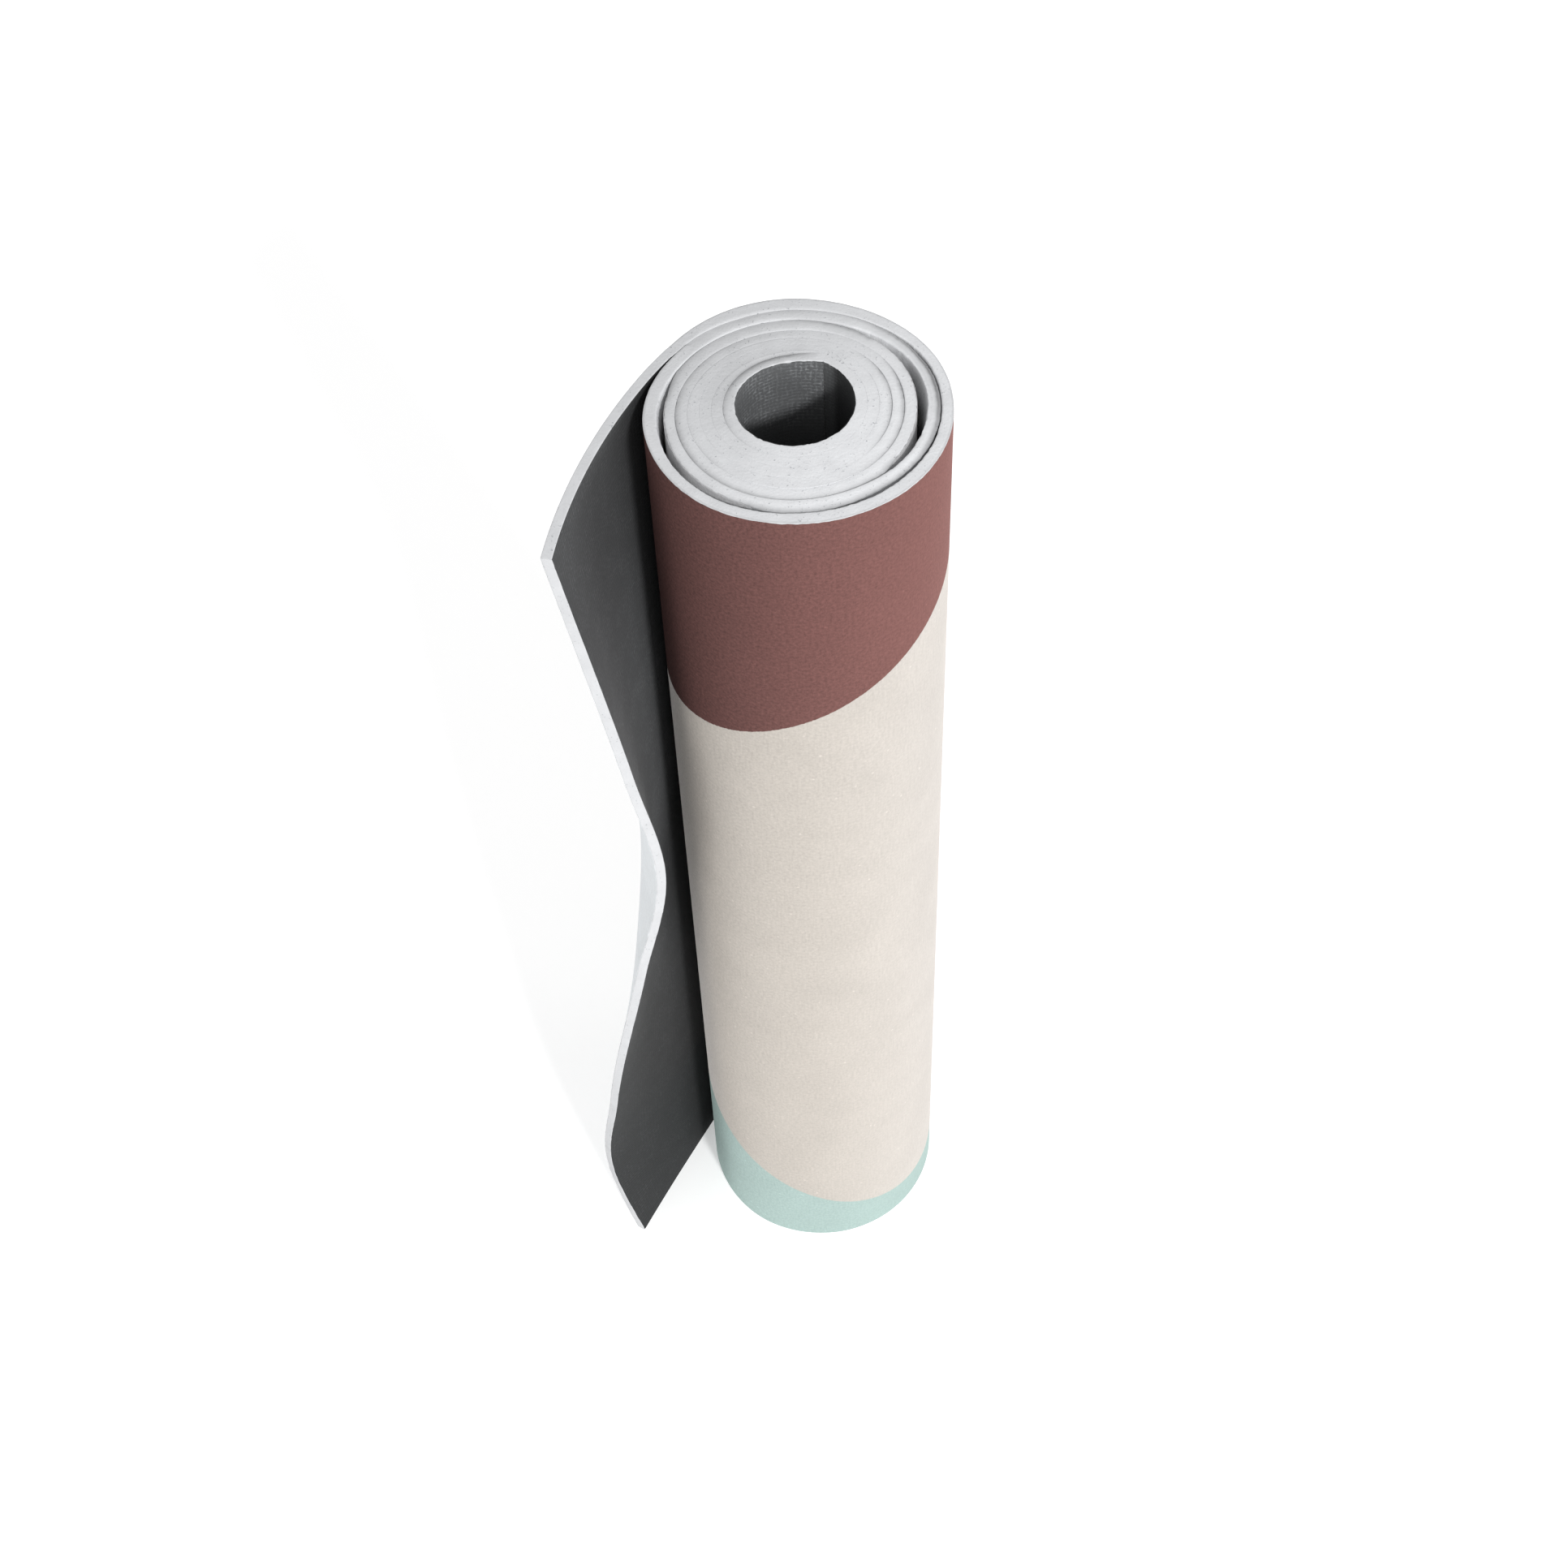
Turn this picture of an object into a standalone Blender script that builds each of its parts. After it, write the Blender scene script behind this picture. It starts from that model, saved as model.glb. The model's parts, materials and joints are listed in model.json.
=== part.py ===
"""A rolled exercise mat that stands on its end, with its free end peeling off the roll.

The mat is one laminate: a printed textile face, a foam core and a woven backing, wound with the
printed face outside. Seen from above it starts at the core hollow and runs anticlockwise outwards.
Its last stretch lifts off the roll as far as an upright flex line, about which the free end swings.
The free end curls by a different amount at each height.
Metres, +Z up. The origin is the middle of the base of the whole form's box.
"""

import math

import bmesh
import bpy
import numpy as np

# Driving dimensions of the mat
MAT_WIDTH = 0.610
MAT_THICKNESS = 0.0049
PRINT_FACE_THICKNESS = 0.0004
BACKING_THICKNESS = 0.0006
BOND_LINE = 0.0001
SKIN_SETBACK = 0.0005

# How the mat is wound, from its inner end
CORE_RADIUS = 0.0226
TURNS = 7.212
TURN_GAP = 0.00045
INNER_END_ANGLE = math.radians(62)
STEPS_PER_TURN = 33

# The inner end is pressed thin against the turn around it
PINCH = 0.0030
PINCH_TURN_SHARE = 0.2

# The turns are pressed thinner on one side, and the roll is a little oval
PRESS_SHARE = 0.073
PRESS_ANGLE = math.radians(276)
OVAL_SHARE = 0.056

# A turn lies round, then climbs where it steps over the end of the turn inside it
CLIMB_SHARE = 1.0
CLIMB_TURN_SHARE = 0.445

# Two places where the outer turns stand off from those inside them
SIDE_SLACK = 0.0043
SIDE_SLACK_TURNS = 5
SIDE_SLACK_ANGLE = math.radians(0)
SIDE_SLACK_HALF_SPAN = math.radians(80)
FRONT_SLACK = 0.0033
FRONT_SLACK_TURNS = 6
FRONT_SLACK_ANGLE = math.radians(241)
FRONT_SLACK_HALF_SPAN = math.radians(160)

# The stretch that lifts off the roll and ends at the flex line
LEAD_OUT_LENGTH = 0.028
LEAD_OUT_RADIUS = 0.167
LEAD_OUT_STEPS = 4

# The flex line's slit, which lets the free end swing this far each way
OPEN_ANGLE = math.radians(45)
CLOSE_ANGLE = math.radians(15)
FLEX_CLEARANCE = 0.00015

# The free end past the flex line
FREE_LENGTH_AT_TOP = 0.108
FREE_LENGTH_AT_BASE = 0.091

# It flares out near the floor, tucks in towards the roll higher up, and opens again at the top.
# A curl is listed at each whole count of those four places, and at shares of the way between them.
FLARE_HEIGHT = 0.061
TUCK_HEIGHT = 0.384
CURL_PLACE_SHARES = (0, 1, 1.28, 1.74, 2, 2.35, 3)
CURLS = tuple(math.radians(degrees) for degrees in (3, -15, 0.5, 36, 54.5, 44.5, 21.7))
CURL_STEPS = 9
HEIGHT_STEPS = 20

# Red, green and blue of each layer, and how rough it is
PRINT_COLOUR = (0.27, 0.13, 0.12)
PRINT_ROUGHNESS = 0.9
FOAM_COLOUR = (0.74, 0.75, 0.77)
FOAM_ROUGHNESS = 0.8
BACKING_COLOUR = (0.05, 0.05, 0.053)
BACKING_ROUGHNESS = 0.75
SHARP_ANGLE = math.radians(30)


def clear_scene():
    for leftover in list(bpy.data.objects):
        bpy.data.objects.remove(leftover, do_unlink=True)


# The winding, seen from above


def swell(angle):
    """The turn's thickness in this direction, as a share of the mat's own."""
    return 1 + PRESS_SHARE * np.cos(angle - PRESS_ANGLE) - OVAL_SHARE * np.cos(2 * angle)


def climb(turn):
    """Layers climbed after this many turns: one for each whole turn, unevenly within it."""
    phase = 2 * math.pi * (turn - CLIMB_TURN_SHARE)
    first_phase = -2 * math.pi * CLIMB_TURN_SHARE
    return turn - CLIMB_SHARE * (np.sin(phase) - np.sin(first_phase)) / (2 * math.pi)


def slack(turn, width, turns_inside, centre, half_span):
    """Radius that the turns outside a gaping place gain, greatest at its centre."""
    angle = INNER_END_ANGLE + 2 * math.pi * turn
    offset = (angle - centre + math.pi) % (2 * math.pi) - math.pi
    start = (centre - half_span - INNER_END_ANGLE) % (2 * math.pi) / (2 * math.pi)
    gaping = (np.abs(offset) < half_span) & (turn > turns_inside + start)
    return np.where(gaping, width * np.cos(math.pi / 2 * offset / half_span) ** 2, 0)


def wound_stations():
    """Inner face points, outward directions and thicknesses along the winding."""
    turn = np.linspace(0, TURNS, round(TURNS * STEPS_PER_TURN) + 1)
    angle = INNER_END_ANGLE + 2 * math.pi * turn
    thickness = MAT_THICKNESS * swell(angle)
    pinched = PINCH * np.cos(math.pi / 2 * np.minimum(turn / PINCH_TURN_SHARE, 1)) ** 2
    radius = CORE_RADIUS + (thickness + TURN_GAP) * climb(turn) + pinched
    radius += slack(turn, SIDE_SLACK, SIDE_SLACK_TURNS, SIDE_SLACK_ANGLE, SIDE_SLACK_HALF_SPAN)
    radius += slack(turn, FRONT_SLACK, FRONT_SLACK_TURNS, FRONT_SLACK_ANGLE, FRONT_SLACK_HALF_SPAN)
    outward = np.stack([np.cos(angle), np.sin(angle)], axis=1)
    return radius[:, None] * outward, outward, thickness - pinched


def arc(start, heading, length, turning, steps):
    """Points along a plane arc that turns by this much over its length, and its right sides."""
    share = np.linspace(0, 1, steps + 1)
    chord_heading = heading + turning * share / 2
    chord = length * share * np.sinc(turning * share / (2 * math.pi))
    along = np.stack([np.cos(chord_heading), np.sin(chord_heading)], axis=1)
    headings = heading + turning * share
    sides = np.stack([np.sin(headings), -np.cos(headings)], axis=1)
    return start + chord[:, None] * along, sides


def rolled_stations():
    """The winding and its lead-out, then the flex point on mid thickness and the heading there."""
    inner, outward, thickness = wound_stations()
    half = thickness[-1] / 2
    start = inner[-1] + half * outward[-1]
    heading = INNER_END_ANGLE + 2 * math.pi * TURNS + math.pi / 2
    turning = LEAD_OUT_LENGTH / LEAD_OUT_RADIUS
    middle, sides = arc(start, heading, LEAD_OUT_LENGTH, turning, LEAD_OUT_STEPS)
    inner = np.concatenate([inner, (middle - half * sides)[1:]])
    outward = np.concatenate([outward, sides[1:]])
    thickness = np.append(thickness, np.full(LEAD_OUT_STEPS, thickness[-1]))
    return inner, outward, thickness, middle[-1], heading + turning


# The layers, as depths from the mat's inner face


def backing_depths(thickness):
    return 0 * thickness, 0 * thickness + BACKING_THICKNESS


def foam_depths(thickness):
    low = 0 * thickness + BACKING_THICKNESS + BOND_LINE
    return low, thickness - PRINT_FACE_THICKNESS - BOND_LINE


def print_depths(thickness):
    return thickness - PRINT_FACE_THICKNESS, thickness


def half_slit(depth, thickness, heading):
    """Step from the flex line to a layer's end: it grows away from mid thickness, to clear both swings."""
    beyond = depth - thickness / 2
    opened = beyond * math.tan(OPEN_ANGLE / 2)
    closed = -beyond * math.tan(CLOSE_ANGLE / 2)
    reach = FLEX_CLEARANCE + max(opened, closed)
    return reach * np.array([math.cos(heading), math.sin(heading)])


def rolled_face(depth, rolled):
    """The line of a rolled layer's face at these depths, cut back at the flex line."""
    inner, outward, thickness, _, heading = rolled
    face = inner + depth[:, None] * outward
    face[-1] -= half_slit(depth[-1], thickness[-1], heading)
    return face


def curl_at(height):
    """Smooth curve through the listed curls, with the slopes that their neighbours give."""
    places = (0, FLARE_HEIGHT, TUCK_HEIGHT, MAT_WIDTH)
    knots = np.interp(CURL_PLACE_SHARES, range(len(places)), places)
    curls = np.array(CURLS)
    slopes = np.gradient(curls, knots)
    k = np.clip(np.searchsorted(knots, height) - 1, 0, len(knots) - 2)
    span = knots[k + 1] - knots[k]
    t = (height - knots[k]) / span
    from_lower = (1 - t) ** 2 * ((1 + 2 * t) * curls[k] + t * span * slopes[k])
    from_upper = t**2 * ((3 - 2 * t) * curls[k + 1] - (1 - t) * span * slopes[k + 1])
    return from_lower + from_upper


def free_end_face(depth, height, rolled):
    """The line of a free end layer's face at this height, from the flex line at (0, 0)."""
    _, _, thickness, _, heading = rolled
    lean = (FREE_LENGTH_AT_TOP - FREE_LENGTH_AT_BASE) * height / MAT_WIDTH
    length = FREE_LENGTH_AT_BASE + lean
    middle, sides = arc(np.zeros(2), heading, length, curl_at(height), CURL_STEPS)
    face = middle + (depth - thickness[-1] / 2) * sides
    face[0] += half_slit(depth, thickness[-1], heading)
    return face


# Solids


def finish_sheet(name, bm, material, parent):
    bmesh.ops.recalc_face_normals(bm, faces=bm.faces)
    mesh = bpy.data.meshes.new(name)
    bm.to_mesh(mesh)
    bm.free()
    mesh.shade_smooth()
    mesh.set_sharp_from_angle(angle=SHARP_ANGLE)
    mesh.materials.append(material)
    sheet = bpy.data.objects.new(name, mesh)
    bpy.context.scene.collection.objects.link(sheet)
    sheet.parent = parent


def extrude_rolled_layer(name, depths_of, low, high, rolled, material, parent):
    """A layer's section from above, one quad a step, extruded over the mat's width."""
    bm = bmesh.new()
    rows = []
    for depth in depths_of(rolled[2]):
        face = rolled_face(depth, rolled)
        rows.append([bm.verts.new((x, y, low)) for x, y in face])
    for a, b, c, d in zip(rows[0], rows[0][1:], rows[1][1:], rows[1]):
        bm.faces.new((a, b, c, d))
    raised = bmesh.ops.extrude_face_region(bm, geom=bm.faces[:])["geom"]
    raised = [part for part in raised if isinstance(part, bmesh.types.BMVert)]
    bmesh.ops.translate(bm, vec=(0, 0, high - low), verts=raised)
    finish_sheet(name, bm, material, parent)


def loft_free_layer(name, depths_of, low, high, rolled, material, parent):
    """A layer of the free end, lofted through its sections at rising heights.

    Every quad is split along the same diagonal in every layer, so the layers nest as they twist.
    """
    bm = bmesh.new()
    heights = np.linspace(0, MAT_WIDTH, HEIGHT_STEPS + 1).clip(low, high)
    rings = []
    for height in heights:
        lines = [free_end_face(depth, height, rolled) for depth in depths_of(rolled[2][-1])]
        rings.append([[bm.verts.new((x, y, height)) for x, y in line] for line in lines])

    def fill(first, second):
        for a, b, c, d in zip(first, first[1:], second[1:], second):
            bm.faces.new((a, b, c))
            bm.faces.new((a, c, d))

    for lower, upper in zip(rings, rings[1:]):
        fill(lower[0], upper[0])
        fill(lower[1], upper[1])
    for inner_row, outer_row in (rings[0], rings[-1]):
        fill(inner_row, outer_row)
    for end in (0, -1):
        fill([ring[0][end] for ring in rings], [ring[1][end] for ring in rings])
    finish_sheet(name, bm, material, parent)


def layer_material(name, colour, roughness):
    material = bpy.data.materials.new(name)
    material.use_nodes = True
    shader = material.node_tree.nodes["Principled BSDF"]
    shader.inputs["Base Color"].default_value = (*colour, 1)
    shader.inputs["Roughness"].default_value = roughness
    shader.inputs["Metallic"].default_value = 0
    material.diffuse_color = (*colour, 1)
    return material


def upright_axis(name, x, y, parent=None):
    """An empty on an upright line, which the layers that share the line hang from."""
    empty = bpy.data.objects.new(name, None)
    bpy.context.scene.collection.objects.link(empty)
    empty.location = (x, y, 0)
    empty.parent = parent
    return empty


# What the shape measures


def distances_to_line(points, line):
    """Distance from each point to each straight step of a line."""
    along = np.diff(line, axis=0)
    reach = points[:, None] - line[:-1]
    share = np.clip((reach * along).sum(-1) / (along**2).sum(-1), 0, 1)
    return np.linalg.norm(reach - share[..., None] * along, axis=-1)


def least_turn_gap(rolled):
    """The least distance from any turn to the turn around it, measured both ways."""
    inner, outward, thickness, _, _ = rolled
    outer = inner + thickness[:, None] * outward
    station = np.arange(len(inner))
    half_turn = STEPS_PER_TURN // 2
    around = station[None, :-1] >= station[:, None] + half_turn
    within = station[:, None] >= station[None, :-1] + half_turn
    to_turn_around = distances_to_line(outer, inner)[around].min()
    to_turn_within = distances_to_line(inner, outer)[within].min()
    return min(to_turn_around, to_turn_within)


def middle_of_plan(rolled):
    """Centre of the box of the whole form, seen from above."""
    inner, outward, thickness, flex_point, _ = rolled
    lines = [inner + thickness[:, None] * outward]
    for height in np.linspace(0, MAT_WIDTH, HEIGHT_STEPS + 1):
        for depth in (0, thickness[-1]):
            lines.append(flex_point + free_end_face(depth, height, rolled))
    points = np.concatenate(lines)
    return (points.min(axis=0) + points.max(axis=0)) / 2


def build_mat():
    rolled = rolled_stations()
    flex_point = rolled[3]
    middle = middle_of_plan(rolled)
    roll_axis = upright_axis("roll_axis", -middle[0], -middle[1])
    flex_line = upright_axis("flex_line", flex_point[0], flex_point[1], roll_axis)

    print_face = layer_material("brushed_textile", PRINT_COLOUR, PRINT_ROUGHNESS)
    foam = layer_material("closed_cell_foam", FOAM_COLOUR, FOAM_ROUGHNESS)
    backing = layer_material("woven_backing", BACKING_COLOUR, BACKING_ROUGHNESS)
    layers = (
        ("print_face", print_depths, SKIN_SETBACK, print_face),
        ("foam", foam_depths, 0, foam),
        ("backing", backing_depths, SKIN_SETBACK, backing),
    )
    for layer, depths_of, setback, material in layers:
        span = (setback, MAT_WIDTH - setback)
        extrude_rolled_layer("roll_" + layer, depths_of, *span, rolled, material, roll_axis)
        loft_free_layer("free_end_" + layer, depths_of, *span, rolled, material, flex_line)

    print("least gap between turns, metres:", least_turn_gap(rolled))
    print("roll axis from the origin:", -middle)
    print("flex line from the origin:", flex_point - middle)


clear_scene()
build_mat()
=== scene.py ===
import json

import bpy
import numpy as np
from mathutils import Matrix, Vector


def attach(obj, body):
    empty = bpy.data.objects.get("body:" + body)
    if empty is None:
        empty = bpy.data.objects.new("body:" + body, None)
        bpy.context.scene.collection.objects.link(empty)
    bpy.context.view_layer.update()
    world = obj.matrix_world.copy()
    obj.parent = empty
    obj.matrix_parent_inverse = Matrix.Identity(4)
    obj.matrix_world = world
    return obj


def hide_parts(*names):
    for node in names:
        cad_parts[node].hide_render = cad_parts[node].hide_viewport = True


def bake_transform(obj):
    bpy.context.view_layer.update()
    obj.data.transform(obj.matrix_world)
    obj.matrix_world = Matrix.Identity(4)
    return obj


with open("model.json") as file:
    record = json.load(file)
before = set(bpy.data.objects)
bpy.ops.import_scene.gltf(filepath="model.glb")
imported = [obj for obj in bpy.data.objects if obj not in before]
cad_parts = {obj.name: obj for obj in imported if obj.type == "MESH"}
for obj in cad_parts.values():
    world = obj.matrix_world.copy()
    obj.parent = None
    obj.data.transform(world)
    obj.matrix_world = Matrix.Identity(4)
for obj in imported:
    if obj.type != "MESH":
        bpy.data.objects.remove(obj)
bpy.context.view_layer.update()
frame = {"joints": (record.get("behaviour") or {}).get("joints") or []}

# The mat as it lies in the roll. One long strip is wound anticlockwise outwards, seen from above,
# with its printed face outside. Its own springiness leaves slack between the outer turns. A place
# along the strip is its count of turns from the inner end, or its length in metres.
MM = 0.001
TURN_ANGLE = 2 * np.pi
MAT_WIDTH = 610 * MM
MAT_THICKNESS = 4.9 * MM
TURN_SPARE = 0.45 * MM
LEAST_SPARE_SHARE = 0.02
CORE_RADIUS = 22.6 * MM
TURNS = 7.212
INNER_END_ANGLE = np.radians(62)
PRESS_SHARE = 0.073
PRESS_ANGLE = np.radians(276)
OVAL_SHARE = 0.056
CLIMB_TURN_SHARE = 0.445
SIDE_SLACK = dict(width=4.2 * MM, inside=5, centre=np.radians(4), half_span=np.radians(78))
# Slack inside the last turn, by angle, and how far its outer face bulges beyond its line
LAST_SLACK_ANGLES = np.radians(
    (81, 110, 138, 160, 185, 210, 235, 250, 263, 275, 300, 330, 360, 390, 415, 441)
)
LAST_SLACKS = np.array(
    (0, 0.15, 0.3, 1.0, 2.2, 2.4, 2.1, 1.4, 0.8, 0.85, 1.4, 1.1, 0.7, 1.1, 0.4, 0)
) * MM
LAST_SLACK_FROM_TURN = 6.06
BULGE_ANGLES = np.radians((146, 153, 165, 183, 205, 225, 250, 283, 315, 345, 360, 390, 415, 441))
BULGES = np.array(
    (0, 0.75, 1.55, 2.1, 1.4, 1.05, 0.85, 1.0, 0.9, 0, -0.4, -0.9, -0.3, 0)
) * MM
BULGE_FROM_TURN = 6.2
SIDE_BULGE = dict(width=0.6 * MM, inside=4, centre=np.radians(15), half_span=np.radians(60))
SIDE_BULGE_TO_TURN = 5.3
CORE_BULGE = dict(width=0.75 * MM, inside=0, centre=np.radians(262), half_span=np.radians(120))
# The back of the roll is squeezed: by how much, at so many turns out from the core
SQUEEZE_ANGLE = np.radians(103)
SQUEEZE_HALF_SPAN = np.radians(90)
SQUEEZE_TURNS = (0, 1, 2, 3, 4, 5, 6, 7, 7.14, 7.2)
SQUEEZES = np.array((-0.2, -0.9, 2.2, 2.5, 4.2, 4.6, 2.9, 1.8, 1.8, 0)) * MM
SIDE_SHIFT = 0.6 * MM
SIDE_SHIFT_ANGLE = np.radians(10)
SIDE_SHIFT_END_TURNS = (6.9, 7.2)
# The inner end is bent outwards, and the second turn is pressed thin where it climbs over it
END_BEND = 5.5 * MM
END_BEND_TURNS = 0.075
END_FACE_TURNS = (1, 1.0004)
SECOND_BEND = 3.4 * MM
SECOND_BEND_START_TURNS = (1.94, 2)
# How open the valley outside each turn is: 0 where the foam is pressed shut, 1 where it gapes
OPEN_TURNS = (
    0, 0.02, 0.05, 0.2, 0.35, 0.5, 0.7, 0.85, 1, 1.5, 1.75, 1.82, 1.95, 2.3, 2.4, 2.6, 2.7,
    2.77, 2.88, 2.97, 3.3, 3.44, 3.5, 3.65, 3.74, 3.85, 3.93, 4.1, 4.22, 4.35, 4.5, 4.6, 4.7, 5,
    5.1, 5.2, 5.3, 5.35, 5.75, 5.9, 6, 6.1, 6.205, 6.212,
)
OPEN_SHARES = (
    0, 0, 0.3, 0.5, 0.35, 0.03, 0, 0, 0, 0, 0.02, 0.08, 0, 0, 0.03, 0, 0.05,
    0.5, 0.5, 0.03, 0, 0.18, 0, 0.1, 0.6, 0.85, 0.1, 0, 0.3, 0.7, 0.7, 0.4, 1, 1,
    0.1, 0.2, 1, 2, 2, 1, 0.3, 0.05, 0, 0.3,
)
# From where it leaves the roll, the mat runs on in a wide arc to its flex line, and the seam with
# the free end lies a little before that line
LEAD_OUT_LENGTH = 28 * MM
LEAD_OUT_RADIUS = 167 * MM
SEAM_BEFORE_FLEX = 18 * MM
STATION_STEP = 1.0 * MM
LEAD_STEPS = 10
FINE_STEPS = 20000


def eased(value, start, end):
    """0 before the start and 1 after the end, by 3t squared less 2t cubed between them."""
    t = np.clip((value - start) / (end - start), 0, 1)
    return t * t * (3 - 2 * t)


def angle_at(turn):
    """Direction from the roll's axis: the inner end's angle, and a full circle for each turn."""
    return INNER_END_ANGLE + TURN_ANGLE * turn


def cosine_bump(angle, centre, half_span):
    """Squared cosine of the angle from the centre, stretched to reach zero at the half span."""
    offset = (angle - centre + np.pi) % TURN_ANGLE - np.pi
    bump = np.cos(np.pi / 2 * offset / half_span) ** 2
    return np.where(np.abs(offset) < half_span, bump, 0)


def slack_at(turn, width, inside, centre, half_span):
    """A cosine bump about the gap's centre, for the turns outside the gap."""
    first = (centre - half_span - INNER_END_ANGLE) % TURN_ANGLE / TURN_ANGLE
    bump = cosine_bump(angle_at(turn), centre, half_span)
    return np.where(turn > inside + first, width * bump, 0)


def open_share(turn):
    """The table of open shares, read along straight lines between its turns."""
    return np.interp(turn, OPEN_TURNS, OPEN_SHARES)


def layer_line(turn):
    """Radius of the line on which the mat's inner face lies at this turn, and its outer face lay
    one turn before: core + layers climbed, less the squeeze at the back, with a shift to the left,
    and with the outward bend of the inner end, an exponential that dies away from each face."""
    angle = angle_at(turn)
    swell = 1 + PRESS_SHARE * np.cos(angle - PRESS_ANGLE) - OVAL_SHARE * np.cos(2 * angle)
    phase = TURN_ANGLE * (turn - CLIMB_TURN_SHARE)
    climb = turn - (np.sin(phase) + np.sin(TURN_ANGLE * CLIMB_TURN_SHARE)) / TURN_ANGLE
    line = CORE_RADIUS + (MAT_THICKNESS * swell + TURN_SPARE) * climb - TURN_SPARE / 2
    squeeze = np.interp(turn, SQUEEZE_TURNS, SQUEEZES)
    line = line - squeeze * cosine_bump(angle, SQUEEZE_ANGLE, SQUEEZE_HALF_SPAN)
    shift = SIDE_SHIFT * np.cos(angle - SIDE_SHIFT_ANGLE)
    line = line - shift * (1 - eased(turn, *SIDE_SHIFT_END_TURNS))
    bend = np.exp(-turn / END_BEND_TURNS)
    outer_bend = np.exp(-np.maximum(turn - 1, 0) / END_BEND_TURNS)
    bend = bend + outer_bend * eased(turn, *END_FACE_TURNS)
    over = np.exp(-np.maximum(turn - 2, 0) / END_BEND_TURNS)
    over = over * eased(turn, *SECOND_BEND_START_TURNS)
    return line + END_BEND * bend + SECOND_BEND * over


def table_at(angle, angles, values):
    """The table read at the angle along straight lines, averaged over 12 degrees."""
    around = [
        np.interp((angle + step - angles[0]) % TURN_ANGLE + angles[0], angles, values)
        for step in np.radians((-6, -3, 0, 3, 6))
    ]
    return np.mean(around, axis=0)


def slack_of(turn):
    """How far this turn has moved out from its line: the side gap's bump, and in the last turn the
    slack read from the table at its angle."""
    last_slack = table_at(angle_at(turn), LAST_SLACK_ANGLES, LAST_SLACKS)
    return slack_at(turn, **SIDE_SLACK) + last_slack * (turn > LAST_SLACK_FROM_TURN)


def wound(turn):
    """Faces on the layer lines, less half of the small gap on each side, plus the slack and the
    bulges; all on the ray at the turn's angle. Gives inner points, rays and thicknesses."""
    angle = angle_at(turn)
    slack = slack_of(turn)
    gap_inside = TURN_SPARE * np.clip(open_share(turn - 1), LEAST_SPARE_SHARE, 1)
    gap_outside = TURN_SPARE * np.clip(open_share(turn), LEAST_SPARE_SHARE, 1)
    inner = layer_line(turn) + gap_inside / 2 + slack
    inner = inner - slack_at(turn, **CORE_BULGE) * (turn < 1)
    outer = layer_line(turn + 1) - gap_outside / 2 + slack
    outer = outer + table_at(angle, BULGE_ANGLES, BULGES) * (turn > BULGE_FROM_TURN)
    outer = outer + slack_at(turn, **SIDE_BULGE) * (turn < SIDE_BULGE_TO_TURN)
    ray = np.stack([np.cos(angle), np.sin(angle)], axis=-1)
    return inner[..., None] * ray, ray, outer - inner


def arc(heading, length, turning):
    """Chord and right side of an arc: the chord of length L and turning T is L sin(T/2)/(T/2)."""
    chord = length * np.sinc(turning / TURN_ANGLE)
    middle = heading + turning / 2
    along = np.stack([np.cos(middle), np.sin(middle)], axis=-1)
    end = heading + turning
    return chord[..., None] * along, np.stack([np.sin(end), -np.cos(end)], axis=-1)


# Stations along the wound part, about a millimetre apart, with a few close ones at the inner end
fine_turn = np.linspace(0, TURNS, FINE_STEPS + 1)
inner, ray, thickness = wound(fine_turn)
middle = inner + thickness[:, None] / 2 * ray
run = np.append(0, np.cumsum(np.linalg.norm(np.diff(middle, axis=0), axis=1)))
wound_length = run[-1]
station = np.linspace(0, wound_length, int(wound_length / STATION_STEP))
at_step = np.interp([0.9992, 1.0, 1.0002, 1.0004, 1.001], fine_turn, run)
station = np.union1d(station, np.append(np.array([0.25, 0.5]) * MM, at_step))
turn = np.interp(station, run, fine_turn)
inner, ray, thickness = wound(turn)
end_thickness = thickness[-1]

# The lead-out carries the wound part on, as far as the seam with the free end
take_off = inner[-1] + end_thickness / 2 * ray[-1]
take_off_heading = angle_at(TURNS) + np.pi / 2
flex_heading = take_off_heading + LEAD_OUT_LENGTH / LEAD_OUT_RADIUS
lead = np.arange(1, LEAD_STEPS + 1) * (LEAD_OUT_LENGTH - SEAM_BEFORE_FLEX) / LEAD_STEPS
chord, side = arc(take_off_heading, lead, lead / LEAD_OUT_RADIUS)
inner = np.concatenate([inner, take_off + chord - end_thickness / 2 * side])
ray = np.concatenate([ray, side])
thickness = np.append(thickness, np.full(len(lead), end_thickness))
turn = np.append(turn, TURNS + lead / (TURN_ANGLE * np.linalg.norm(take_off)))
station = np.append(station, wound_length + lead)
seam_length = station[-1]

# The winding is laid in the frame so that its flex line lies on the hinge
to_flex, _ = arc(take_off_heading, np.array(LEAD_OUT_LENGTH), LEAD_OUT_LENGTH / LEAD_OUT_RADIUS)
flex_point = take_off + to_flex
hinge = np.array(frame["joints"][0]["pos_m"][:2])
inner = inner + hinge - flex_point
roll_axis = hinge - flex_point


# The free end as it hangs. The mat's last stretch is springy foam that lifts off the roll, flares
# out near the floor, tucks in at two thirds of the height and opens again at the top.
FREE_LENGTH_AT_TOP = 108 * MM
FREE_LENGTH_AT_BASE = 91 * MM
FLARE_HEIGHT = 61 * MM
TUCK_HEIGHT = 384 * MM
CURL_PLACES = (0, 1, 1.28, 1.74, 2, 2.35, 3)
CURLS = np.radians((3, -15, 0.5, 36, 54.5, 44.5, 21.7))


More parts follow.
